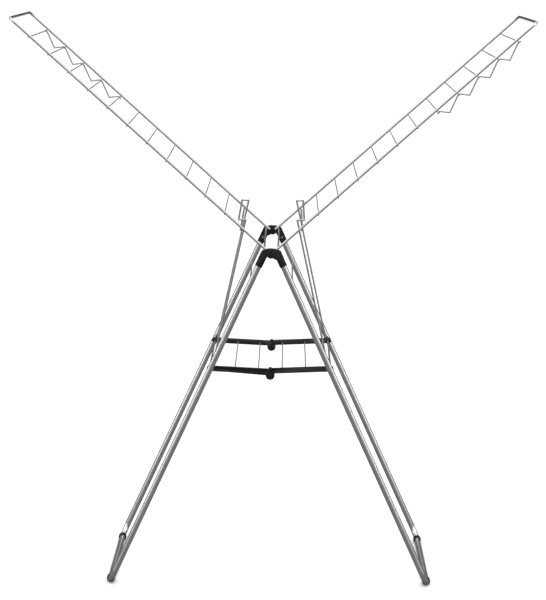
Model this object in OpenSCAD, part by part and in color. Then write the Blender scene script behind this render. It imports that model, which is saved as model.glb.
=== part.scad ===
// Folding clothes drying rack: A-frame of two bent-tube legs, two raised wings, a folding shelf.
// Millimetres, +Z up, the floor at z = 0, near side towards -Y, object centred on x = 0, y = 0.

/* [Legs] */
// lean of each leg from upright, open
leg_tilt = 24.6; // [15:0.1:32]
// height of the apex hinge pins
pin_z = 880; // [700:1:1000]
// centre distance of the two uprights of one leg
leg_spread = 550; // [400:1:700]
// outer diameter of the leg tube
leg_d = 16; // [12:0.5:25]
// wall of the leg tube
leg_wall = 1; // [0.6:0.1:2]
// centreline radius of the bend at the floor
leg_bend = 32; // [24:1:60]
// distance of the leg tube from the hinge pin
leg_off = 15.5; // [12:0.1:25]

/* [Wings] */
// rise of each wing from level, open
wing_rise = 41.8; // [0:0.1:60]
// pivot to crossbar of a wing
wing_len = 883.6; // [600:1:1000]
// outer diameter of the wing tube
wing_d = 7; // [5:0.5:12]
// distance of the wing bars from the middle
wing_y = 260; // [180:1:300]
// distance between neighbouring drying wires
wire_pitch = 67.6; // [40:0.1:90]
// distance of the first drying wire from the pivot
wire_first = 140; // [90:1:200]
// drying wires on one wing
wire_count = 11; // [5:1:11]
// diameter of a drying wire
wire_d = 3; // [2:0.1:5]
// diameter of the hanger wire
hanger_d = 4; // [3:0.1:6]

/* [Props and shelf] */
// diameter of the prop wire
prop_d = 5; // [4:0.1:8]
// distance of the prop wires from the middle
prop_y = 252.8; // [180:0.1:280]
// height of the shelf above the floor at its pivots
shelf_z = 574; // [400:1:700]
// height of a shelf arm
arm_h = 14; // [10:0.5:20]
// thickness of a shelf arm
arm_t = 9; // [6:0.5:12]
// radius of the shelf knuckle
knuckle_r = 11.7; // [9:0.1:16]

/* [Hidden] */
$fn = 64;
eps = 0.02;
leg_y = leg_spread / 2;
leg_r = leg_d / 2;
floor_z = 10;
foot_r = 10.8;
foot_w = 16;
foot_y = leg_y - leg_bend - foot_w / 2;
leg_len = (pin_z - floor_z + leg_off * sin(leg_tilt)) / cos(leg_tilt);
foot_x = leg_off * cos(leg_tilt) + leg_len * sin(leg_tilt);
tube_top = -12;
pin_r = 3;
pin_cover = 1.2;
run_gap = 0.05;
lug_r = 12.5;
lug_gap = 0.5;
hinge_in = 265.6;
hinge_out = 284.4;
layer_mid = 275;
layer_gap = 0.3;
sleeve_r = 9.75;
sleeve_end = -44;
sleeve_top = -12.5;
rivet_z = -29;
rivet_r = 1.6;
rod_r = 2.5;
wing_px = 18;
wing_pz = -3.9;
wing_rod_end = 279;
wing_r = wing_d / 2;
bar_z = wing_r + rod_r - 0.1;
bar_tail = -8.5;
wing_bend = 17;
catch_x = 82.5;
catch_z = bar_z - wing_r - rod_r + 0.1;
wire_z = bar_z - wing_r - wire_d / 2 + 0.1;
wire_end = wing_y + 4.5;
crest_z = wire_z - wire_d / 2 - hanger_d / 2 + 0.1;
tooth_drop = 18.5;
tooth_long = 42.5;
crest_half = 4.3;
stay_r = 2;
stay_x = 12.5;
stay_z = -107;
piv_z = -344;
piv_wx = leg_off * cos(leg_tilt) - piv_z * sin(leg_tilt);
piv_wz = pin_z + leg_off * sin(leg_tilt) + piv_z * cos(leg_tilt);
bracket_in = 260.5;
rod_end = 266.5;
prop_r = prop_d / 2;
eye_r = prop_r + rod_r + 0.1;
prop_corner = [66.5, 964.5];
prop_cross = 84.7;
prop_reach = [piv_wx - prop_corner[0], prop_corner[1] - piv_wz];
prop_lean = atan2(prop_reach[0], prop_reach[1]) - asin(eye_r / norm(prop_reach));
lane_out = [239, 239 + arm_t];
lane_in = [238.5 - arm_t, 238.5];
arm_mid_z = piv_wz - 7;
knuckle_z = arm_mid_z - 10;
arm_drop = atan2(piv_wz - arm_mid_z, piv_wx);
shelf_wires = [31, 92.5];
stop_h = 2.4;
window_x = 6.8;
window_up = 1.2;
window_r = 1.7;
tube_grey = [0.62, 0.63, 0.64];
wire_grey = [0.7, 0.71, 0.72];
black = [0.12, 0.12, 0.13];
steel = [0.8, 0.8, 0.82];
wires = [for (i = [1:wire_count]) i];

function unit(v) = v / norm(v);
function bend_of(a, b, c) = acos(unit(b - a) * unit(c - b));
function side_of(a, b, c) = sign((b - a)[0] * (c - b)[1] - (b - a)[1] * (c - b)[0]);
function cut_of(p, i, r) = (i == 0 || i == len(p) - 1) ? 0
    : r * tan(bend_of(p[i - 1], p[i], p[i + 1]) / 2);

// ring or disc section of a bent rod
module section(r, wall) {
    difference() {
        circle(r);
        if (wall > 0) circle(r - wall);
    }
}

// rod or tube bent along plane points, each corner a true arc
module bent_rod(p, r, wall, bend) {
    for (i = [0:len(p) - 2]) {
        d = unit(p[i + 1] - p[i]);
        from = p[i] + d * cut_of(p, i, bend);
        length = norm(p[i + 1] - p[i]) - cut_of(p, i, bend) - cut_of(p, i + 1, bend);
        translate([from[0], from[1], 0])
            rotate([0, 0, atan2(d[1], d[0])])
            rotate([0, 90, 0])
            linear_extrude(length) section(r, wall);
    }
    for (i = [1:len(p) - 2]) {
        d = unit(p[i] - p[i - 1]);
        s = side_of(p[i - 1], p[i], p[i + 1]);
        turn = bend_of(p[i - 1], p[i], p[i + 1]);
        mid = p[i] - d * cut_of(p, i, bend) + s * bend * [-d[1], d[0]];
        first = atan2(-s * d[0], s * d[1]) - (s > 0 ? 0 : turn);
        translate([mid[0], mid[1], 0])
            rotate([0, 0, first])
            rotate_extrude(angle = turn)
            translate([bend, 0]) section(r, wall);
    }
}

// round bar along Y between two y values, at x, z
module bar_y(x, z, r, y0, y1) {
    translate([x, y1, z]) rotate([90, 0, 0]) cylinder(h = y1 - y0, r = r);
}

// flat outline (x, z) made thick along Y between two y values
module plate_y(points, y0, y1) {
    translate([0, y1, 0]) rotate([90, 0, 0]) linear_extrude(y1 - y0) polygon(points);
}

module right_leg_space() { translate([0, 0, pin_z]) rotate([0, -leg_tilt, 0]) children(); }

module left_leg_space() { rotate([0, 0, 180]) right_leg_space() children(); }

module right_wing_space() {
    right_leg_space() translate([wing_px, 0, wing_pz]) rotate([0, leg_tilt - wing_rise, 0]) children();
}

module left_wing_space() { rotate([0, 0, 180]) right_wing_space() children(); }

// U of tube with holes for the rivets and the stay rod
module leg_tube() {
    path = [[-leg_y, tube_top], [-leg_y, -leg_len], [leg_y, -leg_len], [leg_y, tube_top]];
    difference() {
        translate([leg_off, 0, 0]) rotate([90, 0, 90]) bent_rod(path, leg_r, leg_wall, leg_bend);
        bar_y(stay_x, stay_z, stay_r, -leg_y + 2, leg_y - 2);
        bar_y(leg_off, rivet_z, rivet_r, -leg_y + 2, leg_y - 2);
    }
}

// one half of an apex hinge on the far side; lug from y0 to y1, clearance for the other half's lug
module hinge_half(y0, y1, free0, free1, bore, web) {
    outline = concat([[0.25, 0]], web, [[25, -24], [25, -3], [6.9, 14.4], [0.3, 0.1]]);
    difference() {
        union() {
            difference() {
                intersection() {
                    plate_y(outline, hinge_in, hinge_out);
                    translate([-40.5 * sin(leg_tilt), hinge_out + 1, -40.5 * cos(leg_tilt)])
                        rotate([90, 0, 0]) cylinder(h = hinge_out - hinge_in + 2, r = 53);
                }
                bar_y(0, 0, lug_r + lug_gap, free0, free1);
            }
            bar_y(0, 0, lug_r, y0, y1);
            translate([leg_off, leg_y, sleeve_end]) cylinder(h = sleeve_top - sleeve_end, r = sleeve_r);
        }
        bar_y(0, 0, bore, hinge_in + pin_cover, hinge_out - pin_cover);
        translate([leg_off, leg_y, sleeve_end - 1])
            cylinder(h = tube_top - sleeve_end + 1, r = leg_r + run_gap);
        bar_y(wing_px, wing_pz, rod_r + run_gap, hinge_in - 1, wing_rod_end + 0.5);
        bar_y(leg_off, rivet_z, rivet_r, hinge_in - 2, leg_y);
    }
}

// lug in the inner layer
module hinge_inner(bore) {
    web = [[0.25, -8], [5.3, -11.9], [6.2, -14], [6.2, -24]];
    hinge_half(hinge_in, layer_mid - layer_gap, layer_mid - layer_gap - eps, hinge_out + 1, bore, web);
}

// lug in the outer layer
module hinge_outer(bore) {
    web = [[0.25, -14.5], [6.2, -21], [6.2, -24]];
    hinge_half(layer_mid + layer_gap, hinge_out, hinge_in - 1, layer_mid + layer_gap + eps, bore, web);
}

module near_right_hinge() {
    color(black) right_leg_space() mirror([0, 1, 0]) hinge_outer(pin_r + run_gap);
}

module far_right_hinge() { color(black) right_leg_space() hinge_inner(pin_r + run_gap); }

module near_left_hinge() {
    color(black) left_leg_space() hinge_inner(pin_r);
}

module far_left_hinge() {
    color(black) left_leg_space() mirror([0, 1, 0]) hinge_outer(pin_r);
}

// plain pins of the two apex hinges, captive between the outer faces of the lugs
module apex_pins() {
    color(steel)
        for (a = [0, 180]) rotate([0, 0, a]) translate([0, 0, pin_z])
            bar_y(0, 0, pin_r, hinge_in + pin_cover, hinge_out - pin_cover);
}

// rivets through the inner side of both sleeves of one leg
module sleeve_rivets() {
    head_y = leg_y - sleeve_r;
    for (m = [0, 1]) mirror([0, m, 0]) {
        bar_y(leg_off, rivet_z, rivet_r, head_y - 0.2, leg_y - leg_r + 2.4);
        bar_y(leg_off, rivet_z, rivet_r + 1.5, head_y - 1.3, head_y - 0.1);
    }
}

module stay_rod() { bar_y(stay_x, stay_z, stay_r, -leg_y + 6.4, leg_y - 6.4); }

// shelf pivot blocks clipped against the inside of the uprights of one leg
module brackets() {
    outline = [[-7, -10], [-3, -10], [0, -6], [3, -10], [7, -10], [7, -2], [3, 9], [-3, 9], [-7, -2]];
    for (m = [0, 1]) mirror([0, m, 0])
        difference() {
            translate([leg_off, 0, piv_z]) plate_y(outline, bracket_in, leg_y - 5);
            translate([leg_off, leg_y, piv_z - 20]) cylinder(h = 40, r = leg_r);
            bar_y(leg_off, piv_z, rod_r, bracket_in - 1, rod_end);
        }
}

// soles clipped round the floor bar of one leg, flat underneath
module feet() {
    for (m = [0, 1]) mirror([0, m, 0])
        difference() {
            bar_y(foot_x, floor_z, foot_r, foot_y - foot_w / 2, foot_y + foot_w / 2);
            bar_y(foot_x, floor_z, leg_r, foot_y - foot_w, foot_y + foot_w);
            translate([foot_x - 20, foot_y - foot_w, -10]) cube([40, 2 * foot_w, 10]);
        }
}

// shelf arm reaching from the right pivot to the knuckle, on one lane; holes lightens the knuckle
module shelf_arm(lane, eye_bore, pin_bore, wire_y, holes) {
    difference() {
        union() {
            translate([piv_wx, 0, piv_wz]) rotate([0, -arm_drop, 0])
                plate_y([[-piv_wx / cos(arm_drop), -arm_h / 2], [0, -arm_h / 2], [0, arm_h / 2],
                         [-piv_wx / cos(arm_drop), arm_h / 2]], lane[0], lane[1]);
            bar_y(piv_wx, piv_wz, arm_h / 2 + 1, lane[0], lane[1]);
            bar_y(0, knuckle_z, knuckle_r, lane[0], lane[1]);
        }
        bar_y(piv_wx, piv_wz, eye_bore, lane[0] - 1, lane[1] + 1);
        bar_y(0, knuckle_z, pin_bore, lane_in[0] + pin_cover, lane_out[1] - pin_cover);
        for (x = shelf_wires)
            bar_y(x, arm_mid_z + x * tan(arm_drop), wire_d / 2, wire_y[0], wire_y[1]);
        if (holes)
            for (x = [-window_x, window_x])
                bar_y(x, knuckle_z + window_up, window_r, lane[0] - 1, lane[1] + 1);
    }
}

// the same arm with the stop that rests on the other arm
module stop_arm(lane, wire_y, holes) {
    top = arm_mid_z + arm_h / 2;
    shelf_arm(lane, rod_r + run_gap, pin_r, wire_y, holes);
    plate_y([[-4, top - 4], [4, top - 4], [4, top + stop_h], [-4, top + stop_h]], lane[0], lane[1]);
    plate_y([[-4, top + 0.5], [4, top + 0.5], [4, top + stop_h], [-4, top + stop_h]], lane_in[0], lane_out[1]);
}

module near_left_arm() {
    color(black) rotate([0, 0, 180]) stop_arm(lane_out, [lane_out[0] - 1, lane_out[0] + 3], false);
}

module far_left_arm() {
    color(black) rotate([0, 0, 180]) mirror([0, 1, 0])
        stop_arm(lane_in, [lane_in[0] - 1, lane_in[0] + 3], true);
}

module near_right_arm() {
    color(black) mirror([0, 1, 0])
        shelf_arm(lane_in, rod_r, pin_r + run_gap, [lane_in[0] - 1, lane_in[0] + 3], false);
}

module far_right_arm() {
    color(black) shelf_arm(lane_out, rod_r, pin_r + run_gap, [lane_out[0] - 1, lane_out[0] + 3], true);
}

module shelf_wire(x) {
    color(wire_grey)
        bar_y(x, arm_mid_z + x * tan(arm_drop), wire_d / 2, -lane_in[0] - 3, lane_out[0] + 3);
}

// plain pins of the two knuckles, captive under the outer faces
module knuckle_pins() {
    color(steel)
        for (a = [0, 180]) rotate([0, 0, a])
            bar_y(0, knuckle_z, pin_r, lane_in[0] + pin_cover, lane_out[1] - pin_cover);
}

// wire bent at points in space, with a tight knuckle of metal at each bend
module wire_run(p, r) {
    for (i = [0:len(p) - 2]) {
        d = p[i + 1] - p[i];
        translate(p[i]) rotate([0, acos(d[2] / norm(d)), atan2(d[1], d[0])]) cylinder(h = norm(d), r = r);
    }
    for (q = p) translate(q) sphere(r + 0.05, $fn = 32);
}

// prop of the right side: two side wires with eyes, joined by a stepped top bar
module prop() {
    foot = [piv_wx - eye_r * cos(prop_lean), piv_wz - eye_r * sin(prop_lean)];
    top = prop_corner[1];
    wire_run([[foot[0], -prop_y, foot[1]], [prop_corner[0], -prop_y, top], [prop_cross, -prop_y, top],
              [prop_cross, prop_y, top], [prop_corner[0], prop_y, top], [foot[0], prop_y, foot[1]]], prop_r);
    for (y = [-prop_y, prop_y])
        translate([piv_wx, y, piv_wz]) rotate([90, 0, 0]) rotate([0, 0, 180 + prop_lean])
            rotate_extrude(angle = 265) translate([eye_r, 0]) circle(prop_r);
}

// U frame of one wing
module wing_frame() {
    path = [[bar_tail, -wing_y], [wing_len, -wing_y], [wing_len, wing_y], [bar_tail, wing_y]];
    translate([0, 0, bar_z]) bent_rod(path, wing_r, 1, wing_bend);
}

module drying_wire(i) {
    bar_y(wire_first + (i - 1) * wire_pitch, wire_z, wire_d / 2, -wire_end, wire_end);
}

// saw-tooth wire for coat hangers, welded under the outer drying wires at one bar
module hanger_wire() {
    last = wire_first + (wire_count - 1) * wire_pitch;
    teeth = [for (k = [0:3]) let (x = last - k * wire_pitch)
        each [[x + crest_half, 0, crest_z], [x - crest_half, 0, crest_z],
              [x - crest_half - tooth_long, 0, crest_z - tooth_drop]]];
    wire_run(concat(teeth, [[last - 4 * wire_pitch + crest_half, 0, crest_z],
                            [last - 4 * wire_pitch - crest_half, 0, crest_z]]), hanger_d / 2);
}

module left_leg_tube() { color(tube_grey) left_leg_space() leg_tube(); }

module right_leg_tube() { color(tube_grey) right_leg_space() leg_tube(); }

module left_sleeve_rivets() { color(steel) left_leg_space() sleeve_rivets(); }

module right_sleeve_rivets() { color(steel) right_leg_space() sleeve_rivets(); }

module left_stay_rod() { color(wire_grey) left_leg_space() stay_rod(); }

module right_stay_rod() { color(wire_grey) right_leg_space() stay_rod(); }

module left_brackets() { color(black) left_leg_space() brackets(); }

module right_brackets() { color(black) right_leg_space() brackets(); }

module left_pivot_rod() { color(steel) bar_y(-piv_wx, piv_wz, rod_r, -rod_end, rod_end); }

module right_pivot_pins() {
    color(steel)
        for (m = [0, 1]) mirror([0, m, 0]) bar_y(piv_wx, piv_wz, rod_r, prop_y - 3, rod_end);
}

module shelf_end_rod() { color(steel) bar_y(piv_wx, piv_wz, rod_r, 1 - lane_out[1], lane_out[1] + 1); }

module left_feet() { color(black) rotate([0, 0, 180]) feet(); }

module right_feet() { color(black) feet(); }

module left_prop() { color(wire_grey) rotate([0, 0, 180]) prop(); }

module right_prop() { color(wire_grey) prop(); }

module left_wing_frame() { color(tube_grey) left_wing_space() wing_frame(); }

module right_wing_frame() { color(tube_grey) right_wing_space() wing_frame(); }

module left_wing_rod() { color(steel) left_wing_space() bar_y(0, 0, rod_r, -wing_rod_end, wing_rod_end); }

module right_wing_rod() { color(steel) right_wing_space() bar_y(0, 0, rod_r, -wing_rod_end, wing_rod_end); }

module left_catch_rod() { color(wire_grey) left_wing_space() bar_y(catch_x, catch_z, rod_r, -wire_end, wire_end); }

module right_catch_rod() { color(wire_grey) right_wing_space() bar_y(catch_x, catch_z, rod_r, -wire_end, wire_end); }

module left_hanger_wire() { color(wire_grey) left_wing_space() translate([0, -wing_y, 0]) hanger_wire(); }

module right_hanger_wire() { color(wire_grey) right_wing_space() translate([0, -wing_y, 0]) hanger_wire(); }

left_leg_tube();
right_leg_tube();
near_left_hinge();
near_right_hinge();
far_left_hinge();
far_right_hinge();
apex_pins();
left_sleeve_rivets();
right_sleeve_rivets();
left_stay_rod();
right_stay_rod();
left_brackets();
right_brackets();
left_pivot_rod();
right_pivot_pins();
left_feet();
right_feet();
near_left_arm();
far_left_arm();
near_right_arm();
far_right_arm();
rotate([0, 0, 180]) shelf_wire(shelf_wires[0]);  // left_inner_shelf_wire
rotate([0, 0, 180]) shelf_wire(shelf_wires[1]);  // left_outer_shelf_wire
shelf_wire(shelf_wires[0]);  // right_inner_shelf_wire
shelf_wire(shelf_wires[1]);  // right_outer_shelf_wire
knuckle_pins();
shelf_end_rod();
left_prop();
right_prop();
left_wing_frame();
right_wing_frame();
left_wing_rod();
right_wing_rod();
left_catch_rod();
right_catch_rod();
left_hanger_wire();
right_hanger_wire();
for (i = wires) {
    color(wire_grey) left_wing_space() drying_wire(i);
    color(wire_grey) right_wing_space() drying_wire(i);
}
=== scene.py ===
import math

import bmesh
import bpy
from mathutils import Matrix, Vector


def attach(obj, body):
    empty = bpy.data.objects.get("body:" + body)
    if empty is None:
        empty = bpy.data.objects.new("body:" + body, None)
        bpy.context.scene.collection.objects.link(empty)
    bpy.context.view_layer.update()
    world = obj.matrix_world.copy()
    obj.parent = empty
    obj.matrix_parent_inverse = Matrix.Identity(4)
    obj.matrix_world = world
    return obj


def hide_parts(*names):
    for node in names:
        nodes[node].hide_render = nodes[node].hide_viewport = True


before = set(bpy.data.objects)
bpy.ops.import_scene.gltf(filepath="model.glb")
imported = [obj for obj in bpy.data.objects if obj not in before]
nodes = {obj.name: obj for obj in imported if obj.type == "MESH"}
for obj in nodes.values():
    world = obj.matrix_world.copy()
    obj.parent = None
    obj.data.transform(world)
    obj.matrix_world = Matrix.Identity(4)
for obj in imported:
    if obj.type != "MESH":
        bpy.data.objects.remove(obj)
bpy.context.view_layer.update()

# ---- The view -------------------------------------------------------------------------------
# The rack stands on a pale floor in soft white studio light, seen from the front, a little
# above its tips, with a long lens from about seven metres.
camera_place = Vector((0.0383, -6.801, 1.670))
camera_yaw = math.radians(-0.285)
camera_pitch = math.radians(7.947)
camera_roll = math.radians(0.497)
look = Vector((math.sin(camera_yaw) * math.cos(camera_pitch), math.cos(camera_yaw) * math.cos(camera_pitch),
               -math.sin(camera_pitch)))
level = Vector((math.cos(camera_yaw), -math.sin(camera_yaw), 0.0))
upright = level.cross(look)
across = math.cos(camera_roll) * level + math.sin(camera_roll) * upright
above = math.cos(camera_roll) * upright - math.sin(camera_roll) * level
camera = bpy.data.objects.new("camera", bpy.data.cameras.new("camera"))
camera.matrix_world = Matrix((
    (across.x, above.x, -look.x, camera_place.x),
    (across.y, above.y, -look.y, camera_place.y),
    (across.z, above.z, -look.z, camera_place.z),
    (0, 0, 0, 1)))
camera.data.lens = 153.1
camera.data.sensor_width = 36.0
camera.data.clip_end = 400
bpy.context.collection.objects.link(camera)
bpy.context.scene.camera = camera

world = bpy.data.worlds.new("studio")
bpy.context.scene.world = world
world.use_nodes = True
sky = world.node_tree
direction = sky.nodes.new("ShaderNodeTexCoord")
height = sky.nodes.new("ShaderNodeSeparateXYZ")
half_range = sky.nodes.new("ShaderNodeMapRange")
half_range.inputs["From Min"].default_value = -1.0
sky_tone = sky.nodes.new("ShaderNodeValToRGB")
sky_steps = ((0.5, 0.03), (0.6, 0.12), (0.76, 0.95), (0.88, 1.75), (1.0, 1.9))
while len(sky_tone.color_ramp.elements) < len(sky_steps):
    sky_tone.color_ramp.elements.new(0.5)
for element, (step, tone) in zip(sky_tone.color_ramp.elements, sky_steps):
    element.position = step
    element.color = (tone, tone, tone, 1)
sky.links.new(direction.outputs["Generated"], height.inputs["Vector"])
sky.links.new(height.outputs["Z"], half_range.inputs["Value"])
sky.links.new(half_range.outputs["Result"], sky_tone.inputs["Fac"])
front_fill = sky.nodes.new("ShaderNodeMapRange")
front_fill.inputs["From Min"].default_value = 0.15
front_fill.inputs["From Max"].default_value = -0.8
front_fill.inputs["To Max"].default_value = 0.9
front_tone = sky.nodes.new("ShaderNodeVectorMath")
front_tone.operation = "ADD"
sky.links.new(height.outputs["Y"], front_fill.inputs["Value"])
sky.links.new(sky_tone.outputs["Color"], front_tone.inputs[0])
sky.links.new(front_fill.outputs["Result"], front_tone.inputs[1])
sky.links.new(front_tone.outputs["Vector"], sky.nodes["Background"].inputs["Color"])
sky.nodes["Background"].inputs["Strength"].default_value = 0.8
bpy.context.scene.view_settings.view_transform = "Standard"

softbox_out, softbox_front, softbox_height = 3.3, -0.85, 2.1
softbox_aim = Vector((0, 0, 0.8))
for side_sign in (-1, 1):
    softbox = bpy.data.objects.new("softbox", bpy.data.lights.new("softbox", "AREA"))
    softbox.data.shape = "RECTANGLE"
    softbox.data.size = 0.8
    softbox.data.size_y = 2.6
    softbox.data.energy = 24
    softbox.location = (side_sign * softbox_out, softbox_front, softbox_height)
    aim = softbox_aim - softbox.location
    softbox.rotation_euler = aim.to_track_quat("-Z", "Y").to_euler()
    bpy.context.collection.objects.link(softbox)

floor_mesh = bpy.data.meshes.new("floor")
floor_half = 150.0
floor_tone = 0.9
# The floor is pale only to the camera. To reflections and bounce light it is dark grey: painted shade that
# darkens the tubes' undersides and inner sides.
painted_shade_bounce_tone = 0.14
floor_mesh.from_pydata([(-floor_half, -floor_half, 0), (floor_half, -floor_half, 0),
                        (floor_half, floor_half, 0), (-floor_half, floor_half, 0)], [], [(0, 1, 2, 3)])
floor = bpy.data.objects.new("floor", floor_mesh)
bpy.context.collection.objects.link(floor)
floor_paint = bpy.data.materials.new("pale_floor_painted_shade_bounce")
floor_paint.use_nodes = True
floor_tree = floor_paint.node_tree
pale = floor_tree.nodes["Principled BSDF"]
pale.inputs["Base Color"].default_value = (floor_tone, floor_tone, floor_tone, 1)
pale.inputs["Roughness"].default_value = 0.9
# Painted shade: the dark grey floor that only reflections and bounce light see.
painted_shade_floor_shader = floor_tree.nodes.new("ShaderNodeBsdfDiffuse")
painted_shade_floor_shader.inputs["Color"].default_value = (painted_shade_bounce_tone, painted_shade_bounce_tone, painted_shade_bounce_tone, 1)
# Camera rays get the pale floor, every other ray gets the dark grey painted shade.
seen = floor_tree.nodes.new("ShaderNodeLightPath")
either = floor_tree.nodes.new("ShaderNodeMixShader")
floor_tree.links.new(seen.outputs["Is Camera Ray"], either.inputs["Fac"])
floor_tree.links.new(painted_shade_floor_shader.outputs["BSDF"], either.inputs[1])
floor_tree.links.new(pale.outputs["BSDF"], either.inputs[2])
floor_tree.links.new(either.outputs["Shader"], floor_tree.nodes["Material Output"].inputs["Surface"])
floor_mesh.materials.append(floor_paint)


# ---- Steel tube and its paint ----------------------------------------------------------------
# The legs are drawn steel tube with a silver-grey powder coat. The coat has a fine orange peel,
# a faint mottle in tone, and small rubbed places that shine a little more.
def new_effect(name, inputs, outputs):
    group = bpy.data.node_groups.new(name, "ShaderNodeTree")
    for title, kind, value in inputs:
        socket = group.interface.new_socket(title, in_out="INPUT", socket_type=kind)
        socket.default_value = value
    for title, kind in outputs:
        group.interface.new_socket(title, in_out="OUTPUT", socket_type=kind)
    return group, group.nodes.new("NodeGroupInput"), group.nodes.new("NodeGroupOutput")


def coat_effect():
    group, start, end = new_effect(
        "powder_coat",
        [("Tone", "NodeSocketColor", (0.36, 0.37, 0.38, 1)), ("Mottle", "NodeSocketFloat", 0.12),
         ("Peel Scale", "NodeSocketFloat", 900.0), ("Roughness", "NodeSocketFloat", 0.35),
         ("Bump", "NodeSocketFloat", 0.08)],
        [("Color", "NodeSocketColor"), ("Roughness", "NodeSocketFloat"), ("Normal", "NodeSocketVector")])
    link = group.links.new
    place = group.nodes.new("ShaderNodeTexCoord")
    broad = group.nodes.new("ShaderNodeTexNoise")
    broad.inputs["Scale"].default_value = 14.0
    broad.inputs["Detail"].default_value = 4.0
    fine = group.nodes.new("ShaderNodeTexNoise")
    fine.inputs["Detail"].default_value = 2.0
    link(place.outputs["Object"], broad.inputs["Vector"])
    link(place.outputs["Object"], fine.inputs["Vector"])
    link(start.outputs["Peel Scale"], fine.inputs["Scale"])
    swing = group.nodes.new("ShaderNodeMapRange")
    swing.inputs["To Min"].default_value = -0.5
    swing.inputs["To Max"].default_value = 0.5
    link(broad.outputs["Fac"], swing.inputs["Value"])
    scaled = group.nodes.new("ShaderNodeMath")
    scaled.operation = "MULTIPLY"
    link(swing.outputs["Result"], scaled.inputs[0])
    link(start.outputs["Mottle"], scaled.inputs[1])
    gain = group.nodes.new("ShaderNodeMath")
    gain.operation = "ADD"
    gain.inputs[1].default_value = 1.0
    link(scaled.outputs["Value"], gain.inputs[0])
    tone = group.nodes.new("ShaderNodeVectorMath")
    tone.operation = "SCALE"
    link(start.outputs["Tone"], tone.inputs[0])
    link(gain.outputs["Value"], tone.inputs["Scale"])
    link(tone.outputs["Vector"], end.inputs["Color"])
    rough = group.nodes.new("ShaderNodeMath")
    rough.operation = "ADD"
    link(start.outputs["Roughness"], rough.inputs[0])
    link(scaled.outputs["Value"], rough.inputs[1])
    link(rough.outputs["Value"], end.inputs["Roughness"])
    bump = group.nodes.new("ShaderNodeBump")
    bump.inputs["Distance"].default_value = 0.0002
    link(fine.outputs["Fac"], bump.inputs["Height"])
    link(start.outputs["Bump"], bump.inputs["Strength"])
    link(bump.outputs["Normal"], end.inputs["Normal"])
    return group


powder_coat = coat_effect()


def finish_material(name, effect, values, metallic, specular=0.5):
    material = bpy.data.materials.new(name)
    material.use_nodes = True
    tree = material.node_tree
    shader = tree.nodes["Principled BSDF"]
    shader.inputs["Metallic"].default_value = metallic
    shader.inputs["Specular IOR Level"].default_value = specular
    skin = tree.nodes.new("ShaderNodeGroup")
    skin.node_tree = effect
    for title, value in values.items():
        skin.inputs[title].default_value = value
    tree.links.new(skin.outputs["Color"], shader.inputs["Base Color"])
    tree.links.new(skin.outputs["Roughness"], shader.inputs["Roughness"])
    tree.links.new(skin.outputs["Normal"], shader.inputs["Normal"])
    return material


def dress(node_names, material):
    for node_name in node_names:
        mesh = nodes[node_name].data
        mesh.materials.clear()
        mesh.materials.append(material)


tube_paint = finish_material("tube_paint", powder_coat,
                             {"Tone": (0.6, 0.6, 0.605, 1), "Roughness": 0.16}, 0.85)
dress(["left_leg_tube", "right_leg_tube"], tube_paint)


# ---- Moulded hinge halves ---------------------------------------------------------------------
# Black glass-filled nylon, injection moulded, two layers that swing on one pin. The edges are
# rounded as a mould leaves them, and the skin has a fine spark grain.
def grain_effect():
    group, start, end = new_effect(
        "moulded_grain",
        [("Tone", "NodeSocketColor", (0.02, 0.02, 0.022, 1)), ("Grain Scale", "NodeSocketFloat", 2600.0),
         ("Roughness", "NodeSocketFloat", 0.45), ("Bump", "NodeSocketFloat", 0.25)],
        [("Color", "NodeSocketColor"), ("Roughness", "NodeSocketFloat"), ("Normal", "NodeSocketVector")])
    link = group.links.new
    place = group.nodes.new("ShaderNodeTexCoord")
    grain = group.nodes.new("ShaderNodeTexNoise")
    grain.inputs["Detail"].default_value = 3.0
    link(place.outputs["Object"], grain.inputs["Vector"])
    link(start.outputs["Grain Scale"], grain.inputs["Scale"])
    dust = group.nodes.new("ShaderNodeTexNoise")
    dust.inputs["Scale"].default_value = 45.0
    dust.inputs["Detail"].default_value = 5.0
    link(place.outputs["Object"], dust.inputs["Vector"])
    lift = group.nodes.new("ShaderNodeMapRange")
    lift.inputs["To Min"].default_value = 0.75
    lift.inputs["To Max"].default_value = 1.45
    link(dust.outputs["Fac"], lift.inputs["Value"])
    tone = group.nodes.new("ShaderNodeVectorMath")
    tone.operation = "SCALE"
    link(start.outputs["Tone"], tone.inputs[0])
    link(lift.outputs["Result"], tone.inputs["Scale"])
    link(tone.outputs["Vector"], end.inputs["Color"])
    spread = group.nodes.new("ShaderNodeMapRange")
    spread.inputs["To Min"].default_value = -0.08
    spread.inputs["To Max"].default_value = 0.08
    link(dust.outputs["Fac"], spread.inputs["Value"])
    rough = group.nodes.new("ShaderNodeMath")
    rough.operation = "ADD"
    link(start.outputs["Roughness"], rough.inputs[0])
    link(spread.outputs["Result"], rough.inputs[1])
    link(rough.outputs["Value"], end.inputs["Roughness"])
    bump = group.nodes.new("ShaderNodeBump")
    bump.inputs["Distance"].default_value = 0.0002
    link(grain.outputs["Fac"], bump.inputs["Height"])
    link(start.outputs["Bump"], bump.inputs["Strength"])
    link(bump.outputs["Normal"], end.inputs["Normal"])
    return group


moulded_grain = grain_effect()
black_plastic = finish_material("black_plastic", moulded_grain, {"Tone": (0.008, 0.008, 0.009, 1)}, 0.0,
                                specular=0.3)
hinge_edge = 0.0009
weld_gap = 1e-6
flat_turn = math.radians(1.0)
edge_turn = math.radians(32)
crease_turn = math.radians(35)


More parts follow.
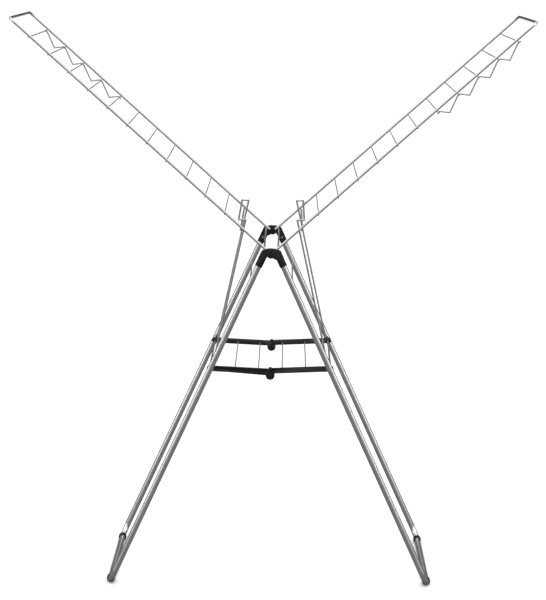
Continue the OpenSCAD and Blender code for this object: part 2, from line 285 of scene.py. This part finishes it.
def rounded_copy(node_name, body, material, edge):
    source = nodes[node_name]
    mesh = source.data.copy()
    shape = bmesh.new()
    shape.from_mesh(mesh)
    bmesh.ops.remove_doubles(shape, verts=shape.verts, dist=weld_gap)
    bmesh.ops.dissolve_limit(shape, angle_limit=flat_turn, verts=shape.verts, edges=shape.edges)
    sharp = [e for e in shape.edges if len(e.link_faces) == 2 and e.calc_face_angle(0) > edge_turn]
    bmesh.ops.bevel(shape, geom=sharp, offset=edge, offset_type="OFFSET", segments=3, profile=0.5,
                    affect="EDGES", clamp_overlap=True)
    bmesh.ops.triangulate(shape, faces=[f for f in shape.faces if len(f.verts) > 4])
    shape.to_mesh(mesh)
    shape.free()
    mesh.materials.clear()
    mesh.materials.append(material)
    piece = bpy.data.objects.new(node_name + "_rounded", mesh)
    bpy.context.collection.objects.link(piece)
    mesh.shade_smooth()
    mesh.set_sharp_from_angle(angle=crease_turn)
    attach(piece, body)
    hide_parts(node_name)


for hinge_side in ("left", "right"):
    for hinge_end in ("near", "far"):
        rounded_copy(f"{hinge_end}_{hinge_side}_hinge", f"{hinge_side}_leg", black_plastic,
                     hinge_edge)

# ---- Pins, rivets and rods --------------------------------------------------------------------
# Plated steel: the apex pins, the sleeve rivets, the knuckle pins and the pivot rods. The
# plating is bright, with fine turning marks.
bright_steel = finish_material("bright_steel", powder_coat,
                               {"Tone": (0.6, 0.6, 0.61, 1), "Roughness": 0.25, "Bump": 0.04,
                                "Mottle": 0.08}, 1.0)
dress(["apex_pins", "left_sleeve_rivets", "right_sleeve_rivets", "knuckle_pins", "left_pivot_rod",
       "right_pivot_pins", "shelf_end_rod", "left_wing_rod", "right_wing_rod"], bright_steel)

# ---- Brackets and soles -----------------------------------------------------------------------
# Small black mouldings: blocks clipped to the uprights for the pivots, and soft soles round the
# floor bars with a flat underside.
foot_plastic = finish_material("foot_plastic", moulded_grain,
                               {"Tone": (0.006, 0.006, 0.006, 1), "Roughness": 0.6, "Bump": 0.35}, 0.0,
                               specular=0.25)
small_edge = 0.0006
for leg_side in ("left", "right"):
    rounded_copy(f"{leg_side}_brackets", f"{leg_side}_leg", black_plastic, small_edge)
    rounded_copy(f"{leg_side}_feet", f"{leg_side}_leg", foot_plastic, small_edge)

# ---- Shelf ------------------------------------------------------------------------------------
# Two pairs of moulded arms that meet in a knuckle, with two painted cross wires on each half.
arm_edge = 0.0012
for shelf_side in ("left", "right"):
    for shelf_end in ("near", "far"):
        rounded_copy(f"{shelf_end}_{shelf_side}_arm", f"{shelf_side}_shelf", black_plastic,
                     arm_edge)
wire_paint = finish_material("wire_paint", powder_coat,
                             {"Tone": (0.45, 0.45, 0.455, 1), "Roughness": 0.3}, 0.85)
dress([f"{side}_{place}_shelf_wire" for side in ("left", "right") for place in ("inner", "outer")], wire_paint)

# ---- Stays, props and wings -------------------------------------------------------------------
# Painted steel wire and thin tube: the stays between the uprights, the stepped props, and the
# wing frames with their drying wires, catch rods and saw-tooth hanger wires.
drying_wires = 11
for side in ("left", "right"):
    dress([f"{side}_wing_frame"], tube_paint)
    dress([f"{side}_stay_rod", f"{side}_prop", f"{side}_catch_rod", f"{side}_hanger_wire"], wire_paint)
    dress([f"{side}_drying_wire_{i}" for i in range(1, drying_wires + 1)], wire_paint)
